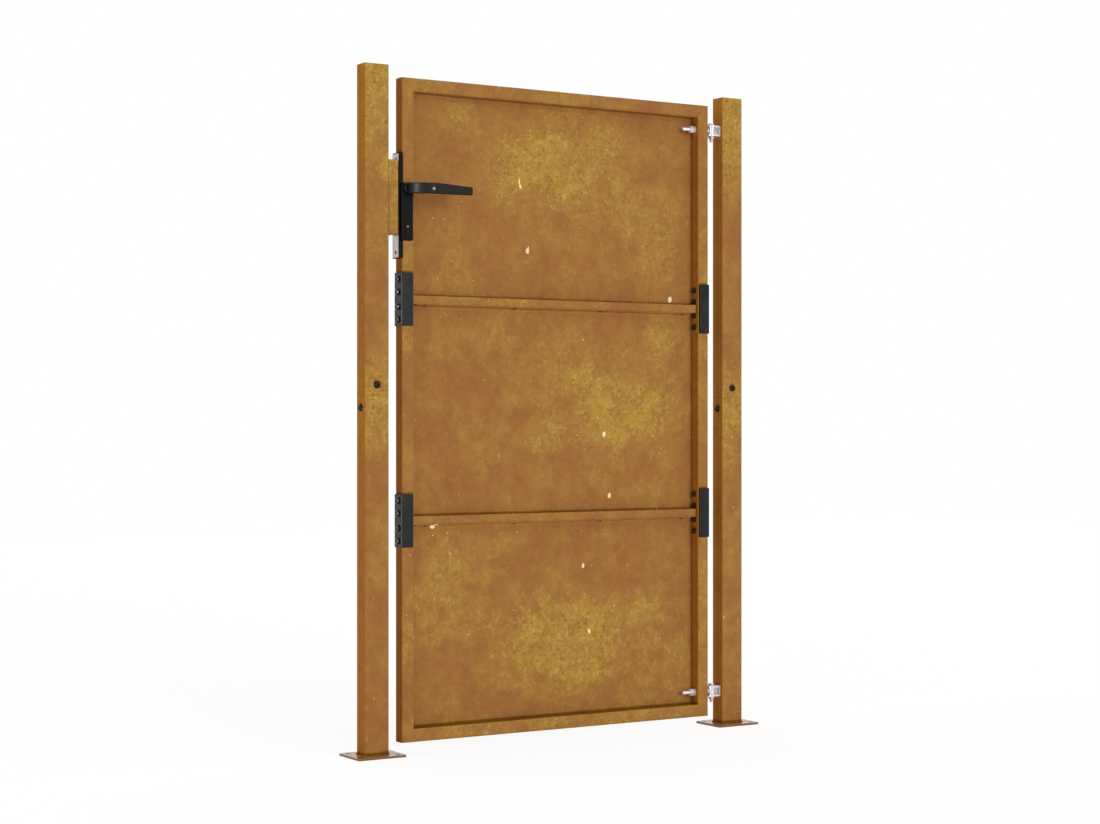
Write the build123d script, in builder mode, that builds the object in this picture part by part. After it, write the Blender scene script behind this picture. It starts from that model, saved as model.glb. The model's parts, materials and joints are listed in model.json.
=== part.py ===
from build123d import *
import math
import os

# A steel garden gate: a leaf of three bolted sections that swings between two posts.
# All sizes are in millimetres. The origin is on the ground, midway between the posts.
# +X runs from the lock post to the hinge post, -Y is the open side of the frame and +Z is up.

os.makedirs("parts", exist_ok=True)

# Leaf frame
leaf_width = 850
leaf_height = 1500
ground_clearance = 26
lock_gap = 36
hinge_gap = 40
top_section = 510
middle_section = 500
frame_size = 30
frame_wall = 2
frame_corner = 1.2
rail_size = 20
rail_wall = 2
rail_corner = 1

# Sheets and the lips that hang them from the rails
sheet_thickness = 2
sheet_setback = 1
lip_depth = 15
lip_end_gap = 14
stud_width = 3
stud_tail = 1
stud_end_distance = 37.25
stud_count = 4
stud_nut_flats = 5.5
stud_nut_height = 2.4

# Splice brackets over the joints of the stiles
bracket_leg = 30
bracket_thickness = 3
bracket_height = 120
bracket_corner = 3
splice_pitch = 28.5
splice_bolt = 8
splice_tail = 1
splice_nut_flats = 13
splice_nut_height = 4
nut_to_rail = 0.3

# Round-headed screws of the splices and the post sleeves
button_width = 16
button_height = 4.8
button_socket = 5
button_socket_depth = 2.5
button_round = 3.2

# Posts
post_width = 60
post_depth = 40
post_wall = 2
post_corner = 1.5
post_rise = 24
post_joint_height = 806.5
post_joint_gap = 0.2
cap_thickness = 2
plate_margin = 30
plate_thickness = 5
plate_corner = 4
plate_hole = 11
plate_hole_inset = 15
sleeve_length = 150
sleeve_wall = 2.5
sleeve_corner = 1.5
sleeve_slip = 0.25
sleeve_screw = 8
sleeve_screw_offset = 25.5
sleeve_screw_tail = 2

# Hinges: eye bolts in the leaf, pins in U-shaped brackets on the post
hinge_inset = 59
hinge_bracket_width = 26
hinge_bracket_height = 26
hinge_bracket_thickness = 4
bracket_screw = 5
bracket_screw_head = 9
bracket_screw_pitch = 14
bracket_screw_tail = 3
pin_width = 8
pin_head_flats = 13
pin_head_height = 5.3
pin_nut_height = 6.5
pin_tail = 8.5
pin_thread_pitch = 1.25
eye_width = 20
eye_side_play = 0.3
eye_rod = 10
eye_rod_tail = 21
eye_thread_pitch = 1.5
eye_nut_flats = 16
eye_nut_height = 8
eye_thin_nut_height = 5

# Lock: faceplate, housing and case
lock_proud = 8
backset = 18
spindle_below_top = 252
cylinder_below_spindle = 85
housing_height = 238
housing_lip = 2
housing_bite = 2.7
faceplate_drop = 37
faceplate_thickness = 3
faceplate_screw = 4
faceplate_screw_head = 8
faceplate_screw_length = 10
faceplate_screw_share = 0.62
case_thickness = 20
case_wall = 1.2
case_above_spindle = 47
case_below_spindle = 124
case_back_gap = 0.5

# Lock: latch, spring, follower and deadbolt
lever_travel = 40
arm_radius = 16.5
arm_width = 4
arm_thickness = 8
arm_play = 0.5
follower_radius = 9
journal_radius = 7
latch_rise = 22
latch_height = 18
latch_thickness = 12
latch_projection = 11
latch_bevel = 9
latch_nose = 4
latch_tab = 3
latch_end_play = 0.5
spring_width = 7
spring_wire = 1
spring_turns = 8
deadbolt_height = 20
deadbolt_thickness = 10
deadbolt_length = 30
bolt_edge = 0.8
cam_reach = 12
cam_play = 3

# Lock: profile cylinder
barrel_radius = 8.5
cylinder_web = 10
cylinder_height = 33
cylinder_proud = 1.5
cam_width = 11
cam_ring = 7.7
cam_nose = 7
cam_gap = 1
plug_radius = 6
keyway_width = 2.2
keyway_height = 8
keyway_depth = 10
cylinder_screw = 5
cylinder_screw_head = 9
cylinder_screw_length = 25

# Lever handles and their backplates
backplate_width = 29
backplate_height = 129
backplate_thickness = 8
backplate_above_spindle = 13
backplate_corner = 2
backplate_edge = 1.5
backplate_screw = 4
backplate_screw_head = 8
backplate_skin = 2
upper_screw_below_spindle = 22
lower_screw_above_deadbolt = 12
spindle_size = 8
spindle_reach = 4
collar_radius = 12
collar_length = 6
lever_journal = 8
lever_bend = 36
lever_sweep = 50
lever_length = 142.5
lever_thickness = 11
lever_height = 24
lever_shoulder = 62
lever_tip_rise = 7
lever_tip_drop = 11
lever_edge = 2

# Keeper box on the lock post
keeper_depth = 24
keeper_height = 167
keeper_drop = 19
keeper_wall = 2
keeper_corner = 1.5
keeper_window_play = 2

# Clearances
thread_play = 0.05
running_play = 0.05
slot_play = 0.3
bolt_play = 0.2
smallest_corner = 0.5

# Places worked out from the sizes above
half_opening = (lock_gap + leaf_width + hinge_gap) / 2
post_x = half_opening + post_width / 2
leaf_left = lock_gap - half_opening
leaf_right = leaf_left + leaf_width
leaf_middle = (leaf_left + leaf_right) / 2
inside_width = leaf_width - 2 * frame_size
stud_pitch = (inside_width - 2 * stud_end_distance) / (stud_count - 1)
leaf_base = ground_clearance
leaf_top = leaf_base + leaf_height
leaf_front = -frame_size / 2
leaf_back = frame_size / 2
upper_joint = leaf_top - top_section
lower_joint = upper_joint - middle_section
sheet_back = leaf_back - sheet_setback
sheet_front = sheet_back - sheet_thickness
rail_y = sheet_front - rail_size / 2
post_top = leaf_top + post_rise
hinge_x = (leaf_right + half_opening) / 2
hinge_heights = {"upper": leaf_top - hinge_inset, "lower": leaf_base + hinge_inset}
faceplate_x = leaf_left - lock_proud
faceplate_back = faceplate_x + faceplate_thickness
faceplate_width = frame_size - 2 * housing_lip
faceplate_height = housing_height - 2 * housing_lip
lock_x = faceplate_x + backset
spindle_z = leaf_top - spindle_below_top
cylinder_z = spindle_z - cylinder_below_spindle
faceplate_z = spindle_z - faceplate_drop
keeper_z = spindle_z - keeper_drop
latch_z = spindle_z + latch_rise
deadbolt_z = cylinder_z + cam_reach + cam_play + deadbolt_height / 2

# Directions in which a screw head, a nut or a window faces
leftward = {"x_dir": (0, 1, 0), "z_dir": (-1, 0, 0)}
rightward = {"x_dir": (0, 1, 0), "z_dir": (1, 0, 0)}
frontward = {"x_dir": (1, 0, 0), "z_dir": (0, -1, 0)}
backward = {"x_dir": (-1, 0, 0), "z_dir": (0, 1, 0)}
downward = {"x_dir": (1, 0, 0), "z_dir": (0, 0, -1)}


# Shared shapes

def keep_piece(builder, name):
    """Label a finished piece and write its file."""
    builder.part.label = name
    export_step(builder.part, f"parts/{name}.step")


def tube_profile(width, depth, wall, corner):
    """The section of a rectangular tube, drawn into the sketch that is open."""
    RectangleRounded(width, depth, corner)
    inner_corner = max(corner - wall, smallest_corner)
    RectangleRounded(width - 2 * wall, depth - 2 * wall, inner_corner, mode=Mode.SUBTRACT)


def hex_blank(flats, height):
    """A hexagon prism on the XY plane, its corners chamfered at both ends."""
    flat_radius = flats / 2
    corner_radius = flat_radius / math.cos(math.radians(30))
    bevel = (corner_radius - flat_radius) * math.tan(math.radians(30))
    with BuildPart() as blank:
        with BuildSketch():
            RegularPolygon(flat_radius, 6, major_radius=False)
        extrude(amount=height)
        with BuildSketch(Plane.XZ):
            with BuildLine():
                Polyline(
                    (0, 0), (flat_radius, 0), (corner_radius, bevel), (corner_radius, height - bevel),
                    (flat_radius, height), (0, height), close=True,
                )
            make_face()
        revolve(axis=Axis.Z, mode=Mode.INTERSECT)
    return blank.part


def hex_nut(flats, height, bolt_width):
    """A hexagon nut that sits on the XY plane and is bored for its bolt."""
    blank = hex_blank(flats, height)
    with BuildPart() as nut:
        add(blank)
        with BuildSketch():
            Circle(bolt_width / 2 + thread_play)
        extrude(amount=height, mode=Mode.SUBTRACT)
    return nut.part


def threaded_rod(width, plain_length, thread_length, pitch):
    """A rod from the XY plane downwards, with thread grooves on its far end."""
    radius = width / 2
    groove = 0.45 * pitch
    turns = max(int(thread_length / pitch) - 1, 1)
    outline = [(0, 0), (radius, 0), (radius, -plain_length)]
    for turn in range(turns):
        start = -plain_length - turn * pitch
        outline += [(radius - groove, start - pitch / 2), (radius, start - pitch)]
    length = plain_length + thread_length
    outline += [(radius - groove, -length), (0, -length)]
    with BuildPart() as rod:
        with BuildSketch(Plane.XZ):
            with BuildLine():
                Polyline(*outline, close=True)
            make_face()
        revolve(axis=Axis.Z)
    return rod.part


def button_screw(shank_width, shank_length):
    """A round-headed socket screw: head above the XY plane, shank below it."""
    with BuildPart() as screw:
        with BuildSketch():
            Circle(button_width / 2)
        extrude(amount=button_height)
        fillet(screw.edges().sort_by(Axis.Z)[-1], radius=min(button_round, 0.8 * button_height))
        with BuildSketch(Plane.XY.offset(button_height)):
            RegularPolygon(button_socket / 2, 6, major_radius=False)
        extrude(amount=-button_socket_depth, mode=Mode.SUBTRACT)
        with BuildSketch():
            Circle(shank_width / 2)
        extrude(amount=-shank_length)
    return screw.part


def countersunk_shape(shank_width, head_width, length):
    """A countersunk screw's outer shape, flush with the XY plane and pointing down."""
    shank_radius = shank_width / 2
    head_radius = head_width / 2
    with BuildPart() as shape:
        with BuildSketch(Plane.XZ):
            with BuildLine():
                Polyline(
                    (0, 0), (head_radius, 0), (shank_radius, shank_radius - head_radius),
                    (shank_radius, -length), (0, -length), close=True,
                )
            make_face()
        revolve(axis=Axis.Z)
    return shape.part


def countersunk_screw(shank_width, head_width, length):
    """A countersunk screw with a hexagon socket in its head."""
    socket = 0.6 * shank_width
    shape = countersunk_shape(shank_width, head_width, length)
    with BuildPart() as screw:
        add(shape)
        with BuildSketch():
            RegularPolygon(socket / 2, 6, major_radius=False)
        extrude(amount=-socket / 2, mode=Mode.SUBTRACT)
    return screw.part


def countersunk_bore(shank_width, head_width, length):
    """What is cut away for a countersunk screw, so that it fits with thread play."""
    return countersunk_shape(shank_width + 2 * thread_play, head_width + 2 * thread_play, length)


def front_plane(y):
    """A plane at y that faces the front, whose own x and y are the gate's X and Z."""
    return Plane(origin=(0, y, 0), **frontward)


# Posts

sleeve_screw_length = post_wall + sleeve_slip + sleeve_wall + sleeve_screw_tail
front_screw_z = post_joint_height + sleeve_screw_offset
side_screw_z = post_joint_height - sleeve_screw_offset
post_places = {"left": -post_x, "right": post_x}
bracket_face = half_opening - hinge_bracket_thickness


def front_and_back(x):
    """Where the two screws of the upper tube sit on the post at x."""
    front = Plane(origin=(x, -post_depth / 2, front_screw_z), **frontward)
    back = Plane(origin=(x, post_depth / 2, front_screw_z), **backward)
    return [front, back]


def both_sides(x):
    """Where the two screws of the lower tube sit on the post at x."""
    left = Plane(origin=(x - post_width / 2, 0, side_screw_z), **leftward)
    right = Plane(origin=(x + post_width / 2, 0, side_screw_z), **rightward)
    return [left, right]


def bracket_screw_places(z):
    """Where the two screws sit in the hinge bracket at height z."""
    offset = bracket_screw_pitch / 2
    return [Plane(origin=(bracket_face, y, z), **leftward) for y in (-offset, offset)]


for side, x in post_places.items():
    with BuildPart() as base_plate:
        plate_width = post_width + 2 * plate_margin
        plate_depth = post_depth + 2 * plate_margin
        with BuildSketch(Plane(origin=(x, 0, 0))):
            RectangleRounded(plate_width, plate_depth, plate_corner)
            with GridLocations(plate_width - 2 * plate_hole_inset, plate_depth - 2 * plate_hole_inset, 2, 2):
                Circle(plate_hole / 2, mode=Mode.SUBTRACT)
        extrude(amount=plate_thickness)
    keep_piece(base_plate, f"{side}_base_plate")

    with BuildPart() as post_lower:
        with BuildSketch(Plane(origin=(x, 0, plate_thickness))):
            tube_profile(post_width, post_depth, post_wall, post_corner)
        extrude(amount=post_joint_height - plate_thickness)
        with Locations(*both_sides(x)):
            Hole(radius=sleeve_screw / 2 + bolt_play, depth=2 * post_wall)
        if side == "right":
            with Locations(*bracket_screw_places(hinge_heights["lower"])):
                Hole(radius=bracket_screw / 2 + thread_play, depth=hinge_bracket_thickness + 2 * post_wall)
    keep_piece(post_lower, f"{side}_post_lower")

    with BuildPart() as post_upper:
        upper_start = post_joint_height + post_joint_gap
        with BuildSketch(Plane(origin=(x, 0, upper_start))):
            tube_profile(post_width, post_depth, post_wall, post_corner)
        extrude(amount=post_top - cap_thickness - upper_start)
        with Locations(*front_and_back(x)):
            Hole(radius=sleeve_screw / 2 + bolt_play, depth=2 * post_wall)
        if side == "right":
            with Locations(*bracket_screw_places(hinge_heights["upper"])):
                Hole(radius=bracket_screw / 2 + thread_play, depth=hinge_bracket_thickness + 2 * post_wall)
    keep_piece(post_upper, f"{side}_post_upper")

with BuildPart() as post_sleeves:
    for x in post_places.values():
        with BuildSketch(Plane(origin=(x, 0, post_joint_height - sleeve_length / 2))):
            sleeve_width = post_width - 2 * (post_wall + sleeve_slip)
            sleeve_depth = post_depth - 2 * (post_wall + sleeve_slip)
            tube_profile(sleeve_width, sleeve_depth, sleeve_wall, sleeve_corner)
        extrude(amount=sleeve_length)
        with Locations(*front_and_back(x), *both_sides(x)):
            Hole(radius=sleeve_screw / 2 + thread_play, depth=sleeve_screw_length + sleeve_wall)
keep_piece(post_sleeves, "post_sleeves")

sleeve_screw_piece = button_screw(sleeve_screw, sleeve_screw_length)
with BuildPart() as post_joint_screws:
    for x in post_places.values():
        with Locations(*front_and_back(x), *both_sides(x)):
            add(sleeve_screw_piece)
keep_piece(post_joint_screws, "post_joint_screws")

with BuildPart() as post_caps:
    for x in post_places.values():
        with BuildSketch(Plane(origin=(x, 0, post_top - cap_thickness))):
            RectangleRounded(post_width, post_depth, post_corner)
        extrude(amount=cap_thickness)
keep_piece(post_caps, "post_caps")

with BuildPart() as keeper_box:
    with BuildSketch(Plane(origin=(-half_opening, 0, keeper_z), **rightward)):
        Rectangle(post_depth, keeper_height)
    extrude(amount=keeper_depth)
    fillet(keeper_box.faces().sort_by(Axis.X)[-1].edges(), radius=min(keeper_corner, 0.9 * keeper_wall))
    with BuildSketch(Plane(origin=(-half_opening, 0, keeper_z), **rightward)):
        Rectangle(post_depth - 2 * keeper_wall, keeper_height - 2 * keeper_wall)
    extrude(amount=keeper_depth - keeper_wall, mode=Mode.SUBTRACT)
    with BuildSketch(Plane(origin=(keeper_depth - half_opening, 0, 0), **rightward)):
        with Locations((0, latch_z)):
            Rectangle(latch_thickness + 2 * keeper_window_play, latch_height + 2 * keeper_window_play)
        with Locations((0, deadbolt_z)):
            Rectangle(deadbolt_thickness + 2 * keeper_window_play, deadbolt_height + 2 * keeper_window_play)
    extrude(amount=-keeper_wall, mode=Mode.SUBTRACT)
keep_piece(keeper_box, "keeper_box")

# Hinges

bracket_bore = countersunk_bore(bracket_screw, bracket_screw_head, hinge_bracket_thickness + post_wall)
bracket_screw_length = hinge_bracket_thickness + post_wall + bracket_screw_tail
bracket_screw_piece = countersunk_screw(bracket_screw, bracket_screw_head, bracket_screw_length)
pin_rod = threaded_rod(pin_width, hinge_bracket_height + pin_nut_height, pin_tail, pin_thread_pitch)
pin_head = hex_blank(pin_head_flats, pin_head_height)
pin_nut = hex_nut(pin_head_flats, pin_nut_height, pin_width)
eye_height = hinge_bracket_height - 2 * (hinge_bracket_thickness + eye_side_play)
eye_plain_length = hinge_x - leaf_right + frame_size + 2 * eye_nut_height
eye_rod_piece = threaded_rod(eye_rod, eye_plain_length, eye_rod_tail, eye_thread_pitch)
eye_nut = hex_nut(eye_nut_flats, eye_nut_height, eye_rod)
eye_thin_nut = hex_nut(eye_nut_flats, eye_thin_nut_height, eye_rod)

for level, z in hinge_heights.items():
    with BuildPart() as hinge_bracket:
        with BuildSketch(Plane(origin=(half_opening, 0, z), **leftward)):
            Rectangle(hinge_bracket_width, hinge_bracket_height)
        extrude(amount=hinge_bracket_thickness)
        for lug_z in (z - hinge_bracket_height / 2, z + hinge_bracket_height / 2 - hinge_bracket_thickness):
            with BuildSketch(Plane(origin=(hinge_x, 0, lug_z))):
                Circle(hinge_bracket_width / 2)
                with Locations(((half_opening - hinge_x) / 2, 0)):
                    Rectangle(half_opening - hinge_x, hinge_bracket_width)
                Circle(pin_width / 2 + running_play, mode=Mode.SUBTRACT)
            extrude(amount=hinge_bracket_thickness)
        with Locations(*bracket_screw_places(z)):
            add(bracket_bore, mode=Mode.SUBTRACT)
    keep_piece(hinge_bracket, f"{level}_hinge_bracket")

    with BuildPart() as hinge_pin:
        with Locations((hinge_x, 0, z + hinge_bracket_height / 2)):
            add(pin_rod)
            add(pin_head)
    keep_piece(hinge_pin, f"{level}_hinge_pin")

    with BuildPart() as eye_bolt:
        with Locations(Plane(origin=(hinge_x, 0, z), **rightward)):
            add(eye_rod_piece)
        with BuildSketch(Plane(origin=(hinge_x, 0, z - eye_height / 2))):
            Circle(eye_width / 2)
        extrude(amount=eye_height)
        with BuildSketch(Plane(origin=(hinge_x, 0, z - eye_height / 2))):
            Circle(pin_width / 2 + running_play)
        extrude(amount=eye_height, mode=Mode.SUBTRACT)
    keep_piece(eye_bolt, f"{level}_eye_bolt")

with BuildPart() as hinge_bracket_screws:
    for z in hinge_heights.values():
        with Locations(*bracket_screw_places(z)):
            add(bracket_screw_piece)
keep_piece(hinge_bracket_screws, "hinge_bracket_screws")

with BuildPart() as hinge_pin_nuts:
    for z in hinge_heights.values():
        with Locations(Plane(origin=(hinge_x, 0, z - hinge_bracket_height / 2), **downward)):
            add(pin_nut)
keep_piece(hinge_pin_nuts, "hinge_pin_nuts")

with BuildPart() as eye_bolt_nuts:
    for z in hinge_heights.values():
        with Locations(Plane(origin=(leaf_right, 0, z), **rightward)):
            add(eye_thin_nut)
        with Locations(Plane(origin=(leaf_right - frame_size, 0, z), **leftward)):
            add(eye_nut)
keep_piece(eye_bolt_nuts, "eye_bolt_nuts")

with BuildPart() as eye_lock_nuts:
    for z in hinge_heights.values():
        with Locations(Plane(origin=(leaf_right - frame_size - eye_nut_height, 0, z), **leftward)):
            add(eye_nut)
keep_piece(eye_lock_nuts, "eye_lock_nuts")

# Leaf frame

leaf_edges = {"left": leaf_left, "right": leaf_right}
outward = {"left": -1, "right": 1}
facing_out = {"left": leftward, "right": rightward}
facing_in = {"left": rightward, "right": leftward}
joints = {"upper": upper_joint, "lower": lower_joint}
sections = {
    "top": (upper_joint, leaf_top),
    "middle": (lower_joint, upper_joint),
    "bottom": (leaf_base, lower_joint),
}
inner_row = rail_size / 2 + nut_to_rail + splice_nut_flats / 2
outer_row = inner_row + splice_pitch
splice_rows = (-outer_row, -inner_row, inner_row, outer_row)
splice_heights = [joint + rail_size / 2 + row for joint in joints.values() for row in splice_rows]


def mitre(x, z):
    """The mitre plane at a corner of the leaf: its rail lies above it, its stile below."""
    across = 1 if x < leaf_middle else -1
    upright = 1 if z > upper_joint else -1
    return Plane(origin=(x, 0, z), z_dir=(across, 0, upright))


def cylinder_profile(play):
    """The outline of the profile cylinder, grown by play, drawn into the sketch that is open."""
    foot = cylinder_height - barrel_radius - cylinder_web / 2
    with Locations((lock_x, cylinder_z)):
        Circle(barrel_radius + play)
    with Locations((lock_x, cylinder_z - foot / 2)):
        Rectangle(cylinder_web + 2 * play, foot)
    with Locations((lock_x, cylinder_z - foot)):
        Circle(cylinder_web / 2 + play)


upper_screw_z = spindle_z - upper_screw_below_spindle
lower_screw_z = deadbolt_z + deadbolt_height / 2 + lower_screw_above_deadbolt


def backplate_screw_holes(play):
    """The holes of the two backplate screws, drawn into the sketch that is open."""
    with Locations((lock_x, upper_screw_z), (lock_x, lower_screw_z)):
        Circle(backplate_screw / 2 + play)


for side, edge in leaf_edges.items():
    for section, (low, high) in sections.items():
        with BuildPart() as stile:
            with BuildSketch(Plane(origin=(edge - outward[side] * frame_size / 2, 0, low))):
                tube_profile(frame_size, frame_size, frame_wall, frame_corner)
            extrude(amount=high - low)
            if section == "top":
                split(bisect_by=mitre(edge, leaf_top), keep=Keep.BOTTOM)
            if section == "bottom":
                split(bisect_by=mitre(edge, leaf_base), keep=Keep.BOTTOM)
            bolt_places = [
                Plane(origin=(edge, 0, z), **facing_out[side]) for z in splice_heights if low < z < high
            ]
            with Locations(*bolt_places):
                Hole(radius=splice_bolt / 2 + bolt_play, depth=2 * frame_size)
            eye_places = [
                Plane(origin=(edge, 0, z), **facing_out[side])
                for z in hinge_heights.values() if side == "right" and low < z < high
            ]
            if eye_places:
                with Locations(*eye_places):
                    Hole(radius=eye_rod / 2 + bolt_play, depth=2 * frame_size)
            if side == "left" and section == "top":
                with BuildSketch(Plane(origin=(leaf_left, 0, faceplate_z), **rightward)):
                    Rectangle(2 * frame_size, housing_height)
                extrude(amount=housing_bite, mode=Mode.SUBTRACT)
                with BuildSketch(front_plane(0)):
                    with Locations((lock_x, spindle_z)):
                        Circle(lever_journal)
                    cylinder_profile(slot_play)
                    backplate_screw_holes(bolt_play)
                extrude(amount=frame_size, both=True, mode=Mode.SUBTRACT)
        keep_piece(stile, f"{side}_stile_{section}")

for name, z in (("top_rail", leaf_top), ("bottom_rail", leaf_base)):
    with BuildPart() as frame_rail:
        centre = z - frame_size / 2 if z == leaf_top else z + frame_size / 2
        with BuildSketch(Plane(origin=(leaf_left, 0, centre), **rightward)):
            tube_profile(frame_size, frame_size, frame_wall, frame_corner)
        extrude(amount=leaf_width)
        split(bisect_by=mitre(leaf_left, z), keep=Keep.TOP)
        split(bisect_by=mitre(leaf_right, z), keep=Keep.TOP)
    keep_piece(frame_rail, name)

for level, joint in joints.items():
    with BuildPart() as mid_rail:
        with BuildSketch(Plane(origin=(leaf_left + frame_size, rail_y, joint + rail_size / 2), **rightward)):
            tube_profile(rail_size, rail_size, rail_wall, rail_corner)
        extrude(amount=inside_width)
    keep_piece(mid_rail, f"{level}_mid_rail")

stud_length = sheet_thickness + stud_nut_height + stud_tail
stud_nut = hex_nut(stud_nut_flats, stud_nut_height, stud_width)

with BuildPart() as rail_studs:
    for joint in joints.values():
        with BuildSketch(Plane(origin=(leaf_middle, rail_y, joint))):
            with GridLocations(stud_pitch, 0, stud_count, 1):
                Circle(stud_width / 2)
        extrude(amount=-stud_length)
keep_piece(rail_studs, "rail_studs")

with BuildPart() as rail_nuts:
    for joint in joints.values():
        with Locations(Plane(origin=(leaf_middle, rail_y, joint - sheet_thickness), **downward)):
            with GridLocations(stud_pitch, 0, stud_count, 1):
                add(stud_nut)
keep_piece(rail_nuts, "rail_nuts")

# Sheets

sheet_spans = {
    "top": (upper_joint, leaf_top - frame_size),
    "middle": (lower_joint, upper_joint),
    "bottom": (leaf_base + frame_size, lower_joint),
}

for section, (low, high) in sheet_spans.items():
    with BuildPart() as sheet:
        with BuildSketch(Plane(origin=(leaf_middle, sheet_back, (low + high) / 2), **frontward)):
            Rectangle(inside_width, high - low)
        extrude(amount=sheet_thickness)
        if section != "top":
            lip_width = inside_width - 2 * lip_end_gap
            with BuildSketch(Plane(origin=(leaf_middle, rail_y, high))):
                with Locations((0, sheet_front - rail_y - lip_depth / 2)):
                    Rectangle(lip_width, lip_depth)
                with GridLocations(stud_pitch, 0, stud_count, 1):
                    Circle(stud_width / 2 + bolt_play, mode=Mode.SUBTRACT)
            extrude(amount=-sheet_thickness)
    keep_piece(sheet, f"{section}_sheet")

# Splices

splice_length = bracket_thickness + frame_size + splice_nut_height + splice_tail
splice_bolt_piece = button_screw(splice_bolt, splice_length)
splice_nut = hex_nut(splice_nut_flats, splice_nut_height, splice_bolt)

for side, edge in leaf_edges.items():
    out = outward[side]
    outer_x = edge + out * bracket_thickness
    inner_x = outer_x - out * bracket_leg
    outer_y = leaf_front - bracket_thickness
    for level, joint in joints.items():
        centre = joint + rail_size / 2
        with BuildPart() as splice_bracket:
            with BuildSketch(Plane(origin=(0, 0, centre - bracket_height / 2))) as angle:
                with BuildLine():
                    Polyline(
                        (outer_x, outer_y), (inner_x, outer_y), (inner_x, leaf_front), (edge, leaf_front),
                        (edge, leaf_back), (outer_x, leaf_back), close=True,
                    )
                make_face()
                fillet(angle.vertices().sort_by_distance((outer_x, outer_y, 0))[0], radius=bracket_corner)
            extrude(amount=bracket_height)
            rows = [Plane(origin=(outer_x, 0, centre + row), **facing_out[side]) for row in splice_rows]
            with Locations(*rows):
                Hole(radius=splice_bolt / 2 + bolt_play, depth=2 * bracket_thickness)
        keep_piece(splice_bracket, f"{level}_{side}_splice_bracket")

with BuildPart() as splice_bolts:
    for side, edge in leaf_edges.items():
        head_x = edge + outward[side] * bracket_thickness
        with Locations(*[Plane(origin=(head_x, 0, z), **facing_out[side]) for z in splice_heights]):
            add(splice_bolt_piece)
keep_piece(splice_bolts, "splice_bolts")

with BuildPart() as splice_nuts:
    for side, edge in leaf_edges.items():
        nut_x = edge - outward[side] * frame_size
        with Locations(*[Plane(origin=(nut_x, 0, z), **facing_in[side]) for z in splice_heights]):
            add(splice_nut)
keep_piece(splice_nuts, "splice_nuts")

# Lock case

case_right = leaf_left + frame_size - frame_wall - case_back_gap
case_depth = case_right - faceplate_back
case_height = case_above_spindle + case_below_spindle
case_x = (faceplate_back + case_right) / 2
case_z = spindle_z + (case_above_spindle - case_below_spindle) / 2
case_inner_right = case_right - case_wall
case_inner_height = case_height - 2 * case_wall
faceplate_bore = countersunk_bore(faceplate_screw, faceplate_screw_head, faceplate_screw_length)
faceplate_screw_piece = countersunk_screw(faceplate_screw, faceplate_screw_head, faceplate_screw_length)
cylinder_bore = countersunk_bore(cylinder_screw, cylinder_screw_head, cylinder_screw_length)
cylinder_screw_piece = countersunk_screw(cylinder_screw, cylinder_screw_head, cylinder_screw_length)
web_top = cam_reach + cam_gap
cylinder_screw_z = cylinder_z - (web_top + cylinder_height - barrel_radius) / 2
faceplate_screw_places = []
for way in (-1, 1):
    case_end = case_z + way * case_height / 2
    plate_end = faceplate_z + way * faceplate_height / 2
    screw_z = case_end + faceplate_screw_share * (plate_end - case_end)
    faceplate_screw_places.append(Plane(origin=(faceplate_x, 0, screw_z), **leftward))
cylinder_screw_place = Plane(origin=(faceplate_x, 0, cylinder_screw_z), **leftward)


def case_holes():
    """What passes through the case from front to back, drawn into the sketch that is open."""
    with Locations((lock_x, spindle_z)):
        Circle(journal_radius + running_play)
    cylinder_profile(slot_play)
    backplate_screw_holes(bolt_play)


with BuildPart() as lock_case:
    with BuildSketch(front_plane(case_thickness / 2)):
        with Locations((case_x, case_z)):
            Rectangle(case_depth, case_height)
    extrude(amount=case_thickness - case_wall)
    with BuildSketch(front_plane(case_thickness / 2 - case_wall)):
        with Locations((case_x - case_wall / 2, case_z)):
            Rectangle(case_depth - case_wall, case_inner_height)
    extrude(amount=case_thickness, mode=Mode.SUBTRACT)
    with BuildSketch(front_plane(case_thickness / 2)):
        case_holes()
    extrude(amount=case_wall, mode=Mode.SUBTRACT)
keep_piece(lock_case, "lock_case")

with BuildPart() as lock_cover:
    with BuildSketch(front_plane(case_wall - case_thickness / 2)):
        with Locations((case_x, case_z)):
            Rectangle(case_depth, case_height)
    extrude(amount=case_wall)
    with BuildSketch(front_plane(case_wall - case_thickness / 2)):
        case_holes()
    extrude(amount=case_wall, mode=Mode.SUBTRACT)
keep_piece(lock_cover, "lock_cover")

with BuildPart() as lock_housing:
    with BuildSketch(Plane(origin=(faceplate_x, 0, 0), **rightward)):
        with Locations((0, faceplate_z)):
            Rectangle(frame_size, housing_height)
        with Locations((0, case_z)):
            Rectangle(case_thickness + 2 * slot_play, case_height + 2 * slot_play, mode=Mode.SUBTRACT)
    extrude(amount=leaf_left + housing_bite - faceplate_x)
    with BuildSketch(Plane(origin=(faceplate_x, 0, 0), **rightward)):
        with Locations((0, faceplate_z)):
            Rectangle(faceplate_width + 2 * bolt_play, faceplate_height + 2 * bolt_play)
    extrude(amount=faceplate_thickness, mode=Mode.SUBTRACT)
    with BuildSketch(front_plane(0)):
        with Locations((lock_x, spindle_z)):
            Circle(lever_journal)
        cylinder_profile(slot_play)
    extrude(amount=frame_size, both=True, mode=Mode.SUBTRACT)
    with Locations(*faceplate_screw_places):
        add(faceplate_bore, mode=Mode.SUBTRACT)
keep_piece(lock_housing, "lock_housing")

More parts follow.
